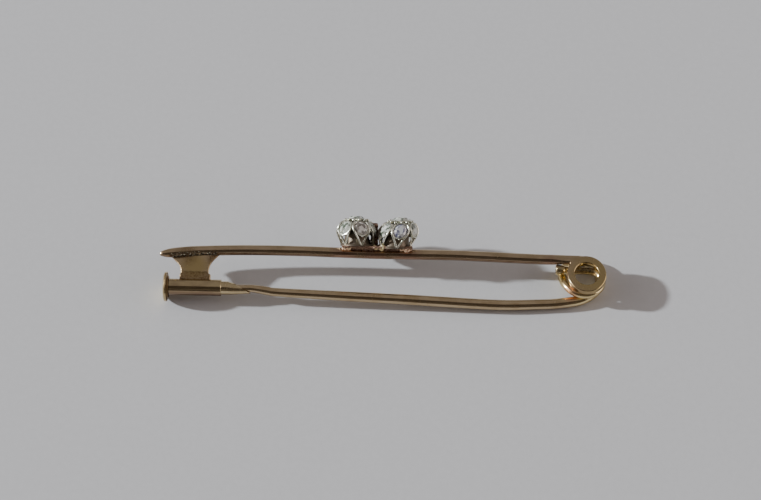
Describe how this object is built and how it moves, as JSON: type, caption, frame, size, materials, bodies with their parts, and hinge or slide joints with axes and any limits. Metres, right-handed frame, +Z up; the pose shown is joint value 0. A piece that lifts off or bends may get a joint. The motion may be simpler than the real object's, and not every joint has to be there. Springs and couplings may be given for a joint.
{
  "type": "bar brooch",
  "caption": "Safety-pin style gold bar brooch, lying on its side: two stone-set daisy clusters on a round bar, spring coil, long pin and a sliding tube catch with a thumb disc.",
  "frame": {"origin": "middle of the lying brooch's footprint, on the surface it lies on", "axes": "+X along the bar from the pointed tip at the catch to the spring coil, +Z up from the table, +Y from the pin towards the bar and the stones"},
  "size_m": [0.06, 0.0119, 0.0077],
  "materials": {
    "gold": "satin",
    "gold_wire": "satin",
    "gold_catch": "satin",
    "white_metal": "satin",
    "diamond": "gloss"
  },
  "bodies": {
    "brooch": {"bar": "gold", "pin": "gold_wire", "setting_left": "white_metal", "setting_right": "white_metal", "stone_left_centre": "diamond", "stone_left_1": "diamond", "stone_left_2": "diamond", "stone_left_3": "diamond", "stone_left_4": "diamond", "stone_left_5": "diamond", "stone_left_6": "diamond", "stone_right_centre": "diamond", "stone_right_1": "diamond", "stone_right_2": "diamond", "stone_right_3": "diamond", "stone_right_4": "diamond", "stone_right_5": "diamond", "stone_right_6": "diamond"},
    "catch_sleeve": {"sleeve": "gold_catch"}
  },
  "joints": [
    {"name": "sleeve_slide", "type": "slide", "parent": "brooch", "child": "catch_sleeve", "axis": [-1, 0, 0], "range_m": [0, 0.0029]}
  ]
}
